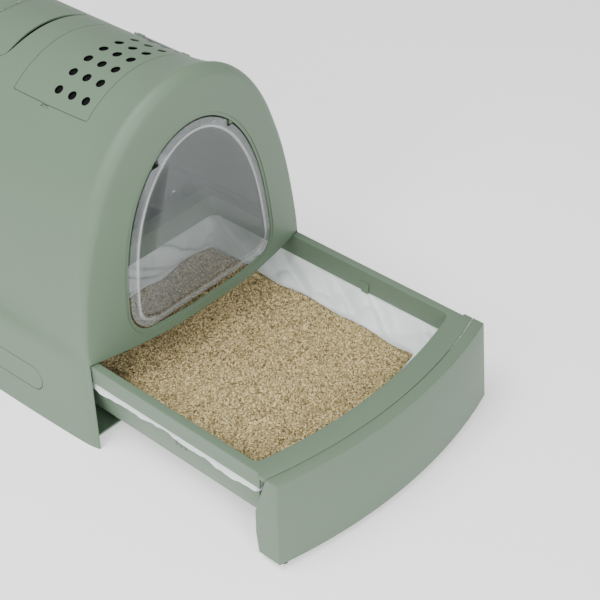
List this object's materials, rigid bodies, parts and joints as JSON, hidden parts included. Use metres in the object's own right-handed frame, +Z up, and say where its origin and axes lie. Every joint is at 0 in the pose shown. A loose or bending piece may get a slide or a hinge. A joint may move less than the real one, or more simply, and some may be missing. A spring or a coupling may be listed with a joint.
{
  "type": "cat litter box with hood",
  "caption": "Hooded cat litter box with a bowed arched housing, clear swing flap, vented filter hatch, storage lid and a slide-out litter drawer with a bag frame.",
  "frame": {"origin": "on the floor, under the middle of the whole assembly's box with the drawer pulled out", "axes": "+Z up, +Y from the drawer's front towards the housing's back, +X to the right seen from the front"},
  "size_m": [0.4388, 0.8986, 0.497],
  "materials": {
    "housing": "matte",
    "drawer": "matte",
    "flap": "gloss",
    "rubber": "matte",
    "pin": "satin",
    "carbon": "matte",
    "bag": "satin",
    "litter": "matte"
  },
  "bodies": {
    "base": {"base_pan": "housing", "foot_front_left": "rubber", "foot_front_right": "rubber", "foot_rear_left": "rubber", "foot_rear_right": "rubber", "runner_left": "housing", "runner_right": "housing"},
    "hood": {"hood_shell": "housing", "flap_bracket_left": "housing", "flap_bracket_right": "housing", "latch_bracket_left": "housing", "latch_bracket_right": "housing", "filter_holder": "housing", "carbon_filter": "carbon", "storage_bin": "housing", "hatch_pin": "pin", "lid_pin": "pin", "latch_pin_left": "pin", "latch_pin_right": "pin"},
    "flap": {"flap_panel": "flap", "flap_pin_left": "flap", "flap_pin_right": "flap"},
    "hatch": {"hatch_panel": "housing"},
    "lid": {"storage_lid": "housing"},
    "latch_left": {"latch_plate_left": "housing"},
    "latch_right": {"latch_plate_right": "housing"},
    "drawer": {"drawer_tray": "drawer", "drawer_front": "drawer", "glide_left": "rubber", "glide_right": "rubber", "front_clip_left": "drawer", "front_clip_right": "drawer", "bag_frame": "drawer", "bag_clip_left": "drawer", "bag_clip_right": "drawer", "liner_bag": "bag", "litter_bed": "litter"}
  },
  "joints": [
    {"name": "drawer_slide", "type": "slide", "parent": "base", "child": "drawer", "axis": [0, 1, 0], "range_m": [0, 0.298]},
    {"name": "hood_lift", "type": "slide", "parent": "base", "child": "hood", "axis": [0, 0, 1], "range_m": [0, 0.2]},
    {"name": "flap_swing", "type": "hinge", "parent": "hood", "child": "flap", "pos_m": [0, -0.08504, 0.398], "axis": [1, 0, 0], "range_deg": [-70, 70]},
    {"name": "hatch_swing", "type": "hinge", "parent": "hood", "child": "hatch", "pos_m": [0.1008, 0.06383, 0.44109], "axis": [0, 1, 0], "range_deg": [0, 95]},
    {"name": "lid_swing", "type": "hinge", "parent": "hood", "child": "lid", "pos_m": [0, 0.25833, 0.47802], "axis": [-1, 0, 0], "range_deg": [0, 80]},
    {"name": "latch_left_swing", "type": "hinge", "parent": "hood", "child": "latch_left", "pos_m": [-0.20874, 0.11833, 0.082], "axis": [0, 1, 0], "range_deg": [0, 8]},
    {"name": "latch_right_swing", "type": "hinge", "parent": "hood", "child": "latch_right", "pos_m": [0.20874, 0.11833, 0.082], "axis": [0, -1, 0], "range_deg": [0, 8]}
  ]
}
